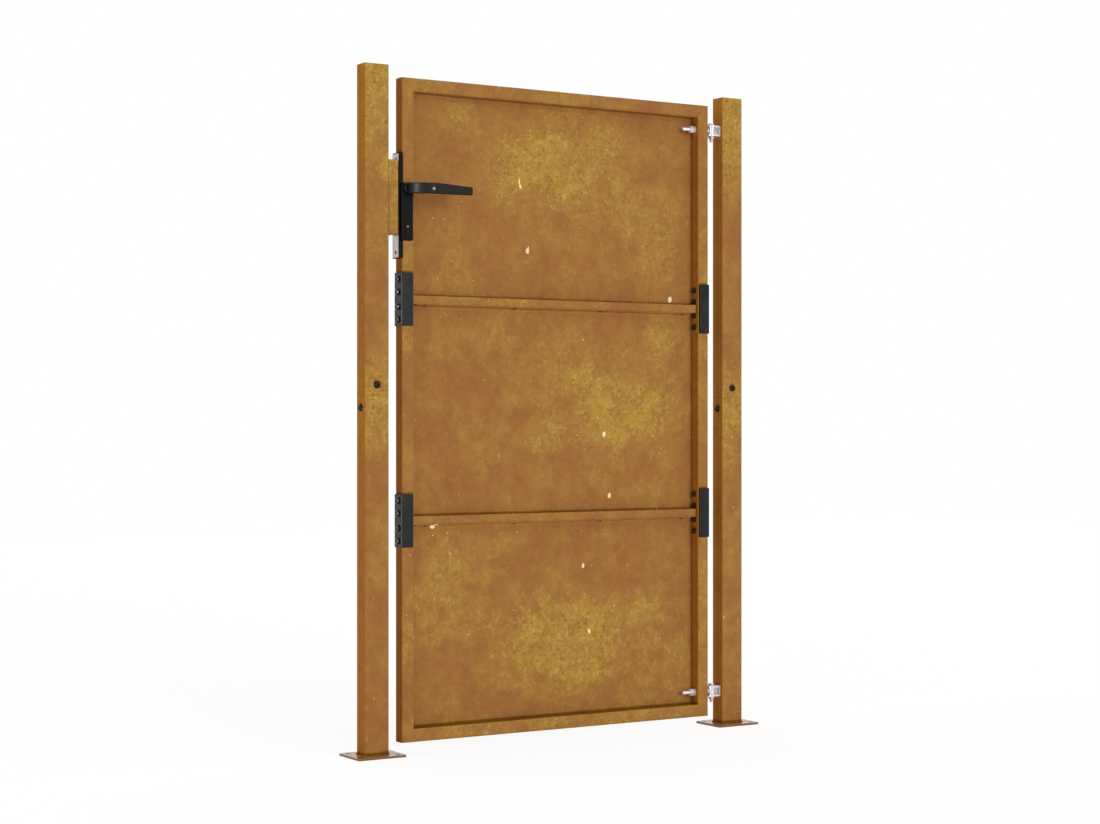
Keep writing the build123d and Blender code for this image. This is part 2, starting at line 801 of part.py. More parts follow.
with BuildPart() as lock_faceplate:
    with BuildSketch(Plane(origin=(faceplate_x, 0, 0), **rightward)):
        with Locations((0, faceplate_z)):
            Rectangle(faceplate_width, faceplate_height)
        with Locations((0, latch_z)):
            Rectangle(latch_thickness + 2 * slot_play, latch_height + 2 * slot_play, mode=Mode.SUBTRACT)
        with Locations((0, deadbolt_z)):
            Rectangle(deadbolt_thickness + 2 * slot_play, deadbolt_height + 2 * slot_play, mode=Mode.SUBTRACT)
    extrude(amount=faceplate_thickness)
    with Locations(*faceplate_screw_places):
        add(faceplate_bore, mode=Mode.SUBTRACT)
    with Locations(cylinder_screw_place):
        add(cylinder_bore, mode=Mode.SUBTRACT)
keep_piece(lock_faceplate, "lock_faceplate")

with BuildPart() as faceplate_screws:
    with Locations(*faceplate_screw_places):
        add(faceplate_screw_piece)
keep_piece(faceplate_screws, "faceplate_screws")

with BuildPart() as cylinder_screw_builder:
    with Locations(cylinder_screw_place):
        add(cylinder_screw_piece)
keep_piece(cylinder_screw_builder, "cylinder_screw")

# Latch, follower and spring

lean = math.radians(lever_travel / 2)
latch_throw = 2 * arm_radius * math.sin(lean)
arm_entry = latch_rise - latch_height / 2
arm_lean = arm_entry * math.tan(lean)
arm_flank = arm_width / 2 / math.cos(lean)
notch_right = lock_x - arm_lean + arm_flank + arm_play
notch_left = lock_x + arm_lean - arm_flank - arm_play - latch_throw
notch_depth = arm_radius + arm_width / 2 + arm_play - arm_entry
latch_tip = faceplate_x - latch_projection
latch_tail = case_inner_right - latch_throw - latch_end_play
latch_bottom = latch_z - latch_height / 2
latch_top = latch_z + latch_height / 2
spring_z = latch_top + spring_width / 2 + slot_play
tab_left = faceplate_back + slot_play
tab_right = tab_left + latch_tab
half_latch = latch_thickness / 2

with BuildPart() as latch_bolt:
    with BuildSketch(Plane(origin=(0, 0, latch_bottom))):
        with BuildLine():
            Polyline(
                (latch_tip, half_latch), (latch_tail, half_latch), (latch_tail, -half_latch),
                (latch_tip + latch_bevel, -half_latch), (latch_tip, half_latch - latch_nose), close=True,
            )
        make_face()
    extrude(amount=latch_height)
    with BuildSketch(front_plane(0)):
        with Locations(((notch_left + notch_right) / 2, latch_bottom + notch_depth / 2)):
            Rectangle(notch_right - notch_left, notch_depth)
    extrude(amount=latch_thickness, both=True, mode=Mode.SUBTRACT)
    with BuildSketch(front_plane(0)):
        with Locations(((tab_left + tab_right) / 2, (latch_top + spring_z + spring_width / 2) / 2)):
            Rectangle(latch_tab, spring_z + spring_width / 2 - latch_top)
    extrude(amount=spring_width / 2, both=True)
keep_piece(latch_bolt, "latch_bolt")

with BuildPart() as follower:
    with BuildSketch(front_plane(0)):
        with Locations((lock_x, spindle_z)):
            Circle(follower_radius)
    extrude(amount=case_thickness / 2 - case_wall - slot_play, both=True)
    with BuildSketch(front_plane(0)):
        with Locations((lock_x, spindle_z)):
            Circle(journal_radius)
    extrude(amount=case_thickness / 2, both=True)
    with BuildSketch(front_plane(0)):
        with Locations(Location((lock_x, spindle_z), lever_travel / 2)):
            with Locations((0, arm_radius / 2)):
                Rectangle(arm_width, arm_radius)
            with Locations((0, arm_radius)):
                Circle(arm_width / 2)
    extrude(amount=arm_thickness / 2, both=True)
    with BuildSketch(front_plane(0)):
        with Locations((lock_x, spindle_z)):
            Rectangle(spindle_size + 2 * thread_play, spindle_size + 2 * thread_play)
    extrude(amount=case_thickness, both=True, mode=Mode.SUBTRACT)
keep_piece(follower, "follower")

spring_start = tab_right + spring_wire / 2 + thread_play
spring_length = case_inner_right - spring_wire / 2 - thread_play - spring_start
with BuildPart() as latch_spring:
    with BuildLine() as coil:
        Helix(
            pitch=spring_length / spring_turns, height=spring_length, radius=(spring_width - spring_wire) / 2,
            center=(spring_start, 0, spring_z), direction=(1, 0, 0),
        )
    with BuildSketch(Plane(origin=coil.line @ 0, z_dir=coil.line % 0)):
        Circle(spring_wire / 2)
    sweep(is_frenet=True)
keep_piece(latch_spring, "latch_spring")

# Deadbolt and profile cylinder

with BuildPart() as deadbolt:
    with BuildSketch(Plane(origin=(faceplate_x, 0, deadbolt_z), **rightward)):
        Rectangle(deadbolt_thickness, deadbolt_height)
    extrude(amount=deadbolt_length)
    chamfer(deadbolt.faces().sort_by(Axis.X)[0].edges(), length=bolt_edge)
keep_piece(deadbolt, "deadbolt")

cylinder_end = leaf_back + backplate_thickness + cylinder_proud

with BuildPart() as cylinder_body:
    with BuildSketch(front_plane(0)):
        cylinder_profile(0)
    extrude(amount=cylinder_end, both=True)
    with BuildSketch(front_plane(0)):
        with Locations((lock_x, cylinder_z)):
            Circle(plug_radius + running_play)
    extrude(amount=cylinder_end, both=True, mode=Mode.SUBTRACT)
    with BuildSketch(front_plane(0)):
        with Locations((lock_x, cylinder_z)):
            Circle(web_top)
    extrude(amount=cam_width / 2 + slot_play, both=True, mode=Mode.SUBTRACT)
    with Locations(cylinder_screw_place):
        add(cylinder_bore, mode=Mode.SUBTRACT)
keep_piece(cylinder_body, "cylinder_body")

with BuildPart() as cylinder_plug:
    with BuildSketch(front_plane(0)):
        with Locations((lock_x, cylinder_z)):
            Circle(plug_radius)
    extrude(amount=cylinder_end, both=True)
    for face in (-cylinder_end, cylinder_end - keyway_depth):
        with BuildSketch(front_plane(face)):
            with Locations((lock_x, cylinder_z)):
                Rectangle(keyway_width, keyway_height)
        extrude(amount=-keyway_depth, mode=Mode.SUBTRACT)
keep_piece(cylinder_plug, "cylinder_plug")

with BuildPart() as cylinder_cam:
    with BuildSketch(front_plane(0)):
        with Locations((lock_x, cylinder_z - cam_reach / 2)):
            Rectangle(cam_nose, cam_reach)
        with Locations((lock_x, cylinder_z)):
            Circle(cam_reach, mode=Mode.INTERSECT)
            Circle(cam_ring)
            Circle(plug_radius + thread_play, mode=Mode.SUBTRACT)
    extrude(amount=cam_width / 2, both=True)
keep_piece(cylinder_cam, "cylinder_cam")

# Backplates

backplate_z = spindle_z + backplate_above_spindle - backplate_height / 2
backplate_screw_length = frame_size + 2 * backplate_thickness - backplate_skin
backplate_bore = countersunk_bore(backplate_screw, backplate_screw_head, backplate_screw_length)
backplate_screw_piece = countersunk_screw(backplate_screw, backplate_screw_head, backplate_screw_length)
backplate_screw_places = [
    Plane(origin=(lock_x, leaf_back + backplate_thickness, z), **backward)
    for z in (upper_screw_z, lower_screw_z)
]

for name, start, direction in (("front", leaf_front, 1), ("rear", leaf_back, -1)):
    with BuildPart() as backplate:
        with BuildSketch(front_plane(start)):
            with Locations((lock_x, backplate_z)):
                RectangleRounded(backplate_width, backplate_height, backplate_corner)
        extrude(amount=direction * backplate_thickness)
        outer_face = backplate.faces().sort_by(Axis.Y)[0 if direction > 0 else -1]
        fillet(outer_face.edges(), radius=backplate_edge)
        with BuildSketch(front_plane(start)):
            with Locations((lock_x, spindle_z)):
                Circle(lever_journal + running_play)
            cylinder_profile(slot_play)
        extrude(amount=direction * backplate_thickness, mode=Mode.SUBTRACT)
        with Locations(*backplate_screw_places):
            add(backplate_bore, mode=Mode.SUBTRACT)
    keep_piece(backplate, f"{name}_backplate")

with BuildPart() as backplate_screws:
    with Locations(*backplate_screw_places):
        add(backplate_screw_piece)
keep_piece(backplate_screws, "backplate_screws")

# Levers and spindle

collar_start = leaf_front - backplate_thickness - slot_play
lever_root = collar_start - collar_length
bend_x = lock_x + lever_sweep
outer_bend = lever_bend + lever_thickness / 2
inner_bend = lever_bend - lever_thickness / 2
outer_sweep = lever_sweep + lever_thickness / 2
inner_sweep = lever_sweep - lever_thickness / 2
lever_tip = lock_x + lever_length
half_lever = lever_height / 2
spindle_end = frame_size / 2 + backplate_thickness + slot_play + collar_length + spindle_reach

with BuildPart() as front_lever:
    with BuildSketch(Plane(origin=(0, 0, spindle_z - half_lever))):
        with BuildLine():
            EllipticalCenterArc((bend_x, lever_root), outer_sweep, outer_bend, 180, arc_size=90)
            EllipticalCenterArc((bend_x, lever_root), inner_sweep, inner_bend, 180, arc_size=90)
            Polyline(
                (bend_x, lever_root - outer_bend), (lever_tip, lever_root - outer_bend),
                (lever_tip, lever_root - inner_bend), (bend_x, lever_root - inner_bend),
            )
            Line((bend_x - inner_sweep, lever_root), (bend_x - outer_sweep, lever_root))
        make_face()
    extrude(amount=lever_height)
    with BuildSketch(front_plane(0)):
        with BuildLine():
            Polyline(
                (lock_x - lever_height, spindle_z - half_lever),
                (lock_x + lever_shoulder, spindle_z - half_lever),
                (lever_tip, spindle_z - lever_tip_drop),
                (lever_tip, spindle_z + lever_tip_rise),
                (lock_x + lever_shoulder, spindle_z + half_lever),
                (lock_x - lever_height, spindle_z + half_lever),
                close=True,
            )
        make_face()
    extrude(amount=lever_length, mode=Mode.INTERSECT)
    fillet(front_lever.edges().sort_by(Axis.Y)[:-4], radius=lever_edge)
    with BuildSketch(front_plane(collar_start)):
        with Locations((lock_x, spindle_z)):
            Circle(collar_radius)
    extrude(amount=collar_length)
    with BuildSketch(front_plane(collar_start)):
        with Locations((lock_x, spindle_z)):
            Circle(lever_journal)
    extrude(amount=-backplate_thickness)
    with BuildSketch(front_plane(0)):
        with Locations((lock_x, spindle_z)):
            Rectangle(spindle_size + 2 * thread_play, spindle_size + 2 * thread_play)
    extrude(amount=spindle_end + slot_play, mode=Mode.SUBTRACT)
keep_piece(front_lever, "front_lever")

with BuildPart() as rear_lever:
    mirror(front_lever.part, about=Plane.XZ)
keep_piece(rear_lever, "rear_lever")

with BuildPart() as spindle:
    with BuildSketch(front_plane(0)):
        with Locations((lock_x, spindle_z)):
            Rectangle(spindle_size, spindle_size)
    extrude(amount=spindle_end, both=True)
keep_piece(spindle, "spindle")
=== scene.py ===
import bmesh
import bpy
import json
import math
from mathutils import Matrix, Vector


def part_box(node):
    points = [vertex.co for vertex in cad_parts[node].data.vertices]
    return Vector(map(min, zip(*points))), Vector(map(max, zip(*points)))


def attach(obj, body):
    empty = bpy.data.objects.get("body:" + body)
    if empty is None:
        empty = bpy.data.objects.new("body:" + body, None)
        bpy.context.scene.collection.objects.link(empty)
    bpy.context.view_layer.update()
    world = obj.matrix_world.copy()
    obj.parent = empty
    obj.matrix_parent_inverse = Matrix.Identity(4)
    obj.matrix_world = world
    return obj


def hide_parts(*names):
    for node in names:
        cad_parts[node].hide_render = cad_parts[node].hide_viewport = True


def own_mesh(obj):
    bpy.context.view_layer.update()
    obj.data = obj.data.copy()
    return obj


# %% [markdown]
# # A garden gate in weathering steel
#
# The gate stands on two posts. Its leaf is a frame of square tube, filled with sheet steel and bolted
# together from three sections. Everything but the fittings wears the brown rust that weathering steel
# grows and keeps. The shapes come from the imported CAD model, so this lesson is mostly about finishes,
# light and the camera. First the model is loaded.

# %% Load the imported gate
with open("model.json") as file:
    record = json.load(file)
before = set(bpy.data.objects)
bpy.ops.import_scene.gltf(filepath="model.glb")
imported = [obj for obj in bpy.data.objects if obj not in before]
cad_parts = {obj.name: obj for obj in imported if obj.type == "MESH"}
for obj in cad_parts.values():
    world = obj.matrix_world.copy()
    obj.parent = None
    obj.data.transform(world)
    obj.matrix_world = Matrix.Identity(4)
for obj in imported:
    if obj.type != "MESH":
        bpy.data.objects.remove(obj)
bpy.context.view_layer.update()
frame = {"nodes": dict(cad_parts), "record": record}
nodes = frame["nodes"]
print("pieces:", len(nodes))

# %% [markdown]
# ## Colours and nodes
#
# Colours are written as sRGB hex codes, the way a paint chart gives them. Blender's shaders work with
# linear light, so one function converts them. A second function adds a node with its settings and its
# inputs in one call, which keeps each finish below as short as a recipe.

# %% Helpers for colours and nodes
def linear(code):
    """The linear colour of an sRGB hex code such as #A0713A."""
    parts = [int(code[place:place + 2], 16) / 255 for place in (1, 3, 5)]
    light = [part / 12.92 if part <= 0.04045 else ((part + 0.055) / 1.055) ** 2.4 for part in parts]
    return (*light, 1.0)


def add_node(tree, kind, inputs=None, **settings):
    """Add a node, set its properties, and fill its inputs with values or with other nodes' outputs."""
    node = tree.nodes.new(kind)
    for name, value in settings.items():
        setattr(node, name, value)
    for key, value in (inputs or {}).items():
        if isinstance(value, bpy.types.NodeSocket):
            tree.links.new(value, node.inputs[key])
        else:
            node.inputs[key].default_value = value
    return node


def start_material(name, **values):
    """A new material, with plain values set on the sockets of its main shader."""
    material = bpy.data.materials.new(name)
    material.use_nodes = True
    shader = material.node_tree.nodes["Principled BSDF"]
    for socket, value in values.items():
        shader.inputs[socket.replace("_", " ")].default_value = value
    return material, material.node_tree, shader


print("the grey #808080 is", round(linear("#808080")[0], 3), "in linear light")

# %% [markdown]
# ## Weathering steel
#
# Weathering steel is left bare. Rain and drying build up a dense layer of iron oxides: red-brown where
# the layer is old, ochre where it is young and powdery, with dark pits and a few pale flakes where it
# has lifted. It is an oxide and not bare metal, so metallic stays at 0. A photograph of rust could be
# wrapped round the gate, but noise in real units has no seams and follows the tubes round their
# corners. The young rust sits in broad blooms. Each bloom is a soft ellipse, given by its middle, its
# half width, its half height and its strength, and noise frays it.

# %% Where the blooms and the large flakes sit, X and Z in millimetres
sheet_blooms = [
    (20, 1320, 110, 75, 0.8), (-60, 1370, 130, 75, 0.6), (-130, 1330, 110, 75, 0.5),
    (-10, 1345, 250, 140, 0.5), (-240, 1440, 70, 75, 0.35), (230, 1270, 205, 90, 0.4),
    (290, 1150, 130, 140, 0.35), (80, 1440, 180, 75, 0.35), (200, 770, 145, 90, 0.8),
    (180, 820, 120, 60, 0.5), (190, 780, 275, 160, 0.45), (70, 850, 85, 75, 0.5),
    (0, 880, 85, 75, 0.35), (300, 945, 70, 90, 0.5), (-30, 720, 95, 60, 0.5),
    (-130, 930, 120, 110, 0.3), (-30, 220, 110, 75, 0.9), (80, 250, 110, 90, 0.95),
    (60, 170, 130, 75, 0.75), (20, 220, 300, 160, 0.65), (-60, 300, 95, 60, 0.5),
    (250, 285, 110, 90, 0.4), (-300, 430, 120, 110, 0.35), (-280, 330, 150, 130, 0.4),
    (300, 165, 150, 110, 0.35),
]
frame_blooms = [
    (-150, 1511, 330, 60, 0.2), (70, 1511, 130, 60, 0.25), (408, 300, 60, 400, 0.35),
    (408, 1000, 60, 500, 0.35), (-200, 1026, 330, 50, 0.2), (-200, 526, 330, 50, 0.1),
    (-30, 41, 90, 60, 0.5), (170, 41, 220, 60, 0.4), (-412, 280, 60, 200, 0.12),
    (-220, 41, 220, 60, 0.4),
]
post_blooms = [
    (-493, 1530, 150, 270, 0.9), (-493, 770, 120, 150, 0.9), (493, 1530, 150, 270, 0.9),
    (493, 770, 120, 150, 0.9), (-444, 1328, 46, 42, 1.1), (-440, 1255, 32, 120, 0.4),
]
sheet_flakes = [
    (-98, 1300, 4, 6, 1), (-100, 1311, 2, 9, 1), (-81, 1150, 5, 7, 1),
    (-79, 1155, 2, 6, 1), (328, 1047, 6, 8, 1), (135, 720, 5, 7, 1),
    (149, 571, 5, 7, 1), (-335, 512, 7, 8, 1), (75, 405, 5, 7, 1),
    (92, 250, 4, 6, 1),
]
print("blooms:", len(sheet_blooms), len(frame_blooms), len(post_blooms), "flakes:", len(sheet_flakes))

# %% [markdown]
# The finish is laid on in the order in which it grows, with one short function for each layer: the old
# ground with its young blooms, dark pits, curls of dust and pale flakes. After them come painted shade
# and light: a deeper brown on the sides, darker corners and ledges, and a paler band under each ledge.
# Before the layers come the places at which they are drawn. Blooms could be painted on an unwrapped mesh,
# but ellipses in millimetres need no unwrapping. They go straight through the gate, so that a bloom sits
# on both sides of a sheet.

# %% Soft ellipses
def soft_spots(tree, place, spots):
    """The sum of soft ellipses at the places of a list, each with its strength in its middle."""
    half_depth = 10
    total = 0.0
    for x, z, half_width, half_height, strength in spots:
        local = add_node(tree, "ShaderNodeMapping", {
            "Vector": place, "Location": (x / 1000, 0, z / 1000),
            "Scale": (half_width / 1000, half_depth, half_height / 1000)}, vector_type="TEXTURE")
        spot = add_node(tree, "ShaderNodeTexGradient", {"Vector": local.outputs[0]},
                        gradient_type="SPHERICAL").outputs["Fac"]
        total = add_node(tree, "ShaderNodeMath", {0: spot, 1: strength, 2: total},
                         operation="MULTIPLY_ADD").outputs[0]
    return total


print("the widest ellipse is", 2 * max(bloom[2] for bloom in sheet_blooms + frame_blooms), "mm wide")

# %% [markdown]
# Noise pushes the ellipses out of shape: far for the blooms, so that their edges fray, and a little for
# the flakes, so that they look chipped. Pits and crumbs lie in the skin and not through the steel, so
# they are drawn on flat coordinates: one runs along the ground, round the corner of a tube as well, and
# the other runs up.

# %% Frayed, chipped and flat places, in metres
fray_size = 0.06
bloom_push = 0.12
flake_push = 0.015


def skin_places(tree, place):
    """Places pushed far for the blooms, places pushed a little for the flakes, and flat ones."""
    fray = add_node(tree, "ShaderNodeTexNoise", {
        "Vector": place, "Scale": 1 / fray_size, "Detail": 5, "Roughness": 0.68}).outputs["Color"]
    push = add_node(tree, "ShaderNodeVectorMath", {0: fray, 1: (0.5, 0.5, 0.5)},
                    operation="SUBTRACT").outputs[0]
    frayed = add_node(tree, "ShaderNodeVectorMath", {0: push, 1: (bloom_push, 0, bloom_push), 2: place},
                      operation="MULTIPLY_ADD").outputs[0]
    chipped = add_node(tree, "ShaderNodeVectorMath", {0: push, 1: (flake_push, 0, flake_push), 2: place},
                       operation="MULTIPLY_ADD").outputs[0]
    along = add_node(tree, "ShaderNodeVectorMath", {0: chipped, 1: (1, 1, 0)},
                     operation="DOT_PRODUCT").outputs["Value"]
    upward = add_node(tree, "ShaderNodeSeparateXYZ", {0: chipped}).outputs["Z"]
    flat = add_node(tree, "ShaderNodeCombineXYZ", {0: along, 1: upward}).outputs[0]
    return frayed, chipped, flat


print("edges fray over", round(1000 * fray_size), "mm")

# %% [markdown]
# The ground drifts between two browns in wide clouds. The same clouds help the blooms to spread, as
# both follow where rain runs. Smaller patches then break the young rust up. A plain mix by the ellipse
# alone would look sprayed on.

# %% Old ground and young blooms
old_rust = "#9B6639"
brown_rust = "#9E6C3A"
young_rust = "#AF893C"
cloud_size = 0.11
cloud_share = 1.15


def grow_blooms(tree, place, frayed, blooms, mottle):
    """The colour of ground and blooms, how far the blooms reach, and how young the rust is."""
    cloud = add_node(tree, "ShaderNodeTexNoise", {
        "Vector": place, "Scale": 1 / cloud_size, "Detail": 5, "Roughness": 0.62}).outputs["Fac"]
    drift = add_node(tree, "ShaderNodeMapRange", {
        "Value": cloud, "From Min": 0.36, "From Max": 0.64}).outputs[0]
    ground = add_node(tree, "ShaderNodeMix", {
        "Factor": drift, "A": linear(old_rust), "B": linear(brown_rust)}, data_type="RGBA")
    bloom = soft_spots(tree, frayed, blooms)
    bloom = add_node(tree, "ShaderNodeMath", {0: cloud, 1: cloud_share, 2: bloom},
                     operation="MULTIPLY_ADD").outputs[0]
    reach = add_node(tree, "ShaderNodeMapRange", {
        "Value": bloom, "From Min": 0.415, "From Max": 1.315}).outputs[0]
    patch = add_node(tree, "ShaderNodeMapRange", {
        "Value": mottle, "From Min": 0.36, "From Max": 0.56, "To Min": 0.45}).outputs[0]
    young = add_node(tree, "ShaderNodeMath", {0: reach, 1: patch}, operation="MULTIPLY").outputs[0]
    bloomed = add_node(tree, "ShaderNodeMix", {
        "Factor": young, "A": ground.outputs["Result"], "B": linear(young_rust)}, data_type="RGBA")
    return bloomed.outputs["Result"], reach, young


print("clouds of", round(1000 * cloud_size), "mm")

# %% [markdown]
# Young rust is powdery and has dark pits. Noise would give blots of one kind, so the pits are the cells
# of a Voronoi pattern: each cell has its own random value, which leaves about half of them without a
# pit and gives the others their depth.

# %% Dark pits
dark_pit = "#74551C"
pit_spacing = 0.01


def sink_pits(tree, flat, reach, colour):
    """Dark pits, as deep as the bloom round them reaches."""
    cells = add_node(tree, "ShaderNodeTexVoronoi", {"Vector": flat, "Scale": 1 / pit_spacing},
                     voronoi_dimensions="2D")
    depth = add_node(tree, "ShaderNodeMapRange", {
        "Value": cells.outputs["Color"], "From Min": 0.5, "To Max": 0.8}).outputs[0]
    pit = add_node(tree, "ShaderNodeMapRange", {
        "Value": cells.outputs["Distance"], "From Min": 0.5, "From Max": 0.12}).outputs[0]
    pit = add_node(tree, "ShaderNodeMath", {0: pit, 1: depth}, operation="MULTIPLY").outputs[0]
    pit = add_node(tree, "ShaderNodeMath", {0: pit, 1: reach}, operation="MULTIPLY").outputs[0]
    pitted = add_node(tree, "ShaderNodeMix", {
        "Factor": pit, "A": colour, "B": linear(dark_pit)}, data_type="RGBA")
    return pitted.outputs["Result"]


print("pits", round(1000 * pit_spacing), "mm apart")

# %% [markdown]
# Where drops dry, they leave thin curls of light dust. A curl is the line on which a twisted noise
# passes its middle value, and a second noise breaks the lines into short pieces. Most of the dust lies
# on the blooms.

# %% Broken curls of dust
dusty_curl = "#C6A85E"
curl_size = 0.025
gap_size = 0.014


def draw_curls(tree, place, flat, reach, colour):
    """Broken curls of light dust, strongest on the blooms."""
    swirl = add_node(tree, "ShaderNodeTexNoise", {
        "Vector": place, "Scale": 1 / curl_size, "Detail": 2, "Roughness": 0.5,
        "Distortion": 1.6}).outputs["Fac"]
    ridge = add_node(tree, "ShaderNodeMath", {0: swirl, 1: 0.5}, operation="SUBTRACT").outputs[0]
    ridge = add_node(tree, "ShaderNodeMath", {0: ridge}, operation="ABSOLUTE").outputs[0]
    curl = add_node(tree, "ShaderNodeMapRange", {
        "Value": ridge, "From Min": 0.07, "From Max": 0.01, "To Max": 0.6}).outputs[0]
    broken = add_node(tree, "ShaderNodeTexNoise", {
        "Vector": flat, "Scale": 1 / gap_size, "Detail": 3}, noise_dimensions="2D").outputs["Fac"]
    broken = add_node(tree, "ShaderNodeMapRange", {
        "Value": broken, "From Min": 0.46, "From Max": 0.62}).outputs[0]
    dusty = add_node(tree, "ShaderNodeMapRange", {
        "Value": reach, "From Min": 0.2, "From Max": 0.8, "To Min": 0.15}).outputs[0]
    curl = add_node(tree, "ShaderNodeMath", {0: curl, 1: broken}, operation="MULTIPLY").outputs[0]
    curl = add_node(tree, "ShaderNodeMath", {0: curl, 1: dusty}, operation="MULTIPLY").outputs[0]
    curled = add_node(tree, "ShaderNodeMix", {
        "Factor": curl, "A": colour, "B": linear(dusty_curl)}, data_type="RGBA")
    return curled.outputs["Result"]


print("curls of", round(1000 * curl_size), "mm")

# %% [markdown]
# Some rust has lifted and shows pale. The large flakes have their places in the list above. The small
# crumbs are Voronoi cells again: only a cell with a high random value has one, and the value sets its
# size. Both end at a hard edge, because a flake breaks off and doesn't fade.

# %% Pale flakes and crumbs
pale_flake = "#F3DFAE"
crumb_spacing = 0.045
flake_edge = 0.1


def lift_flakes(tree, chipped, flat, flakes, colour):
    """The colour with pale flakes and crumbs, and where they are."""
    crumbs = add_node(tree, "ShaderNodeTexVoronoi", {"Vector": flat, "Scale": 1 / crumb_spacing},
                      voronoi_dimensions="2D")
    crumb_size = add_node(tree, "ShaderNodeMapRange", {
        "Value": crumbs.outputs["Color"], "From Min": 0.58, "From Max": 1.0, "To Max": 0.04}).outputs[0]
    crumb = add_node(tree, "ShaderNodeMath", {0: crumbs.outputs["Distance"], 1: crumb_size},
                     operation="LESS_THAN").outputs[0]
    flake = soft_spots(tree, chipped, flakes)
    flake = add_node(tree, "ShaderNodeMath", {0: flake, 1: flake_edge},
                     operation="GREATER_THAN").outputs[0]
    pale = add_node(tree, "ShaderNodeMath", {0: crumb, 1: flake}, operation="MAXIMUM").outputs[0]
    flaked = add_node(tree, "ShaderNodeMix", {
        "Factor": pale, "A": colour, "B": linear(pale_flake)}, data_type="RGBA")
    return flaked.outputs["Result"], pale


print("crumbs", round(1000 * crumb_spacing), "mm apart or more")

# %% [markdown]
# Faces that look along the gate are painted a deeper brown, as painted shade. Then come the corners. On a
# ledge and just above it the rust is painted darker, as painted shade, and just under a ledge it is
# painted paler, as painted light that lifts the shadow there. Such corners could be painted by hand, but
# ambient occlusion finds them all: bent downwards it meets the ledge below, and bent upwards the ledge
# above.

# %% Painted shade on sides, ledges and corners, painted light under ledges
# Painted shade: faces that look along the gate get a deeper, more saturated brown.
side_shade_brown = "#AB691A"
crease_shade_reach = 0.006
under_ledge_light_reach = 0.01
view_bend = 0.8


def paint_side_shade(tree, sideways, colour):
    """The colour with a deeper brown painted in as shade on faces that look along the gate."""
    turned = add_node(tree, "ShaderNodeMath", {0: sideways}, operation="ABSOLUTE").outputs[0]
    side_shade = add_node(tree, "ShaderNodeMapRange", {
        "Value": turned, "From Min": 0.5, "From Max": 0.9, "To Max": 0.7}).outputs[0]
    deepened = add_node(tree, "ShaderNodeMix", {
        "Factor": side_shade, "A": colour, "B": linear(side_shade_brown)}, data_type="RGBA")
    return deepened.outputs["Result"]


def corner_light(tree, bend_up, reach):
    """How open the corner of a face is, looking out of the face and bent upwards or downwards."""
    facing = add_node(tree, "ShaderNodeNewGeometry").outputs["Normal"]
    way = add_node(tree, "ShaderNodeVectorMath", {0: facing, 1: (0, 0, bend_up)}).outputs[0]
    way = add_node(tree, "ShaderNodeVectorMath", {0: way}, operation="NORMALIZE").outputs[0]
    return add_node(tree, "ShaderNodeAmbientOcclusion", {"Distance": reach, "Normal": way},
                    samples=6).outputs["AO"]


def paint_corner_shade(tree, upward, ledge_shade_level):
    """A factor for the rust: painted shade on ledges and just above them, painted light just under them.
    """
    # Painted shade on faces that look upwards.
    ledge = add_node(tree, "ShaderNodeMapRange", {
        "Value": upward, "From Min": 0.5, "From Max": 0.9, "To Min": 1.0,
        "To Max": ledge_shade_level}).outputs[0]
    # Painted shade in the corner just above a ledge.
    crease_shade = add_node(tree, "ShaderNodeMapRange", {
        "Value": corner_light(tree, -view_bend, crease_shade_reach), "From Min": 0.5, "From Max": 0.95,
        "To Min": 0.45}).outputs[0]
    # Painted light just under a ledge, against the shadow there.
    under_ledge_light = add_node(tree, "ShaderNodeMapRange", {
        "Value": corner_light(tree, view_bend, under_ledge_light_reach), "From Min": 0.3, "From Max": 0.75,
        "To Min": 1.5, "To Max": 1.0}).outputs[0]
    crease_and_ledge_shade = add_node(tree, "ShaderNodeMath", {0: crease_shade, 1: ledge}, operation="MULTIPLY").outputs[0]
    return add_node(tree, "ShaderNodeMath", {0: crease_and_ledge_shade, 1: under_ledge_light}, operation="MULTIPLY").outputs[0]


# Prints how far the painted corner shade reaches above a ledge.
print("water stands up to", round(1000 * crease_shade_reach), "mm above a ledge")

# %% [markdown]
# One function puts the layers together. Fine grain and the patches make the shade uneven, and the painted
# shade gets a richer colour where it is darkest. Young rust is powder, so it is duller than the ground.
# The same grain, patches and flakes give the skin its relief.

# %% The rust as a whole
patch_size = 0.028
grain_size = 0.004
crust_depth = 0.0008
grain_height = 0.4
flake_height = 0.3
powder_dullness = 0.2


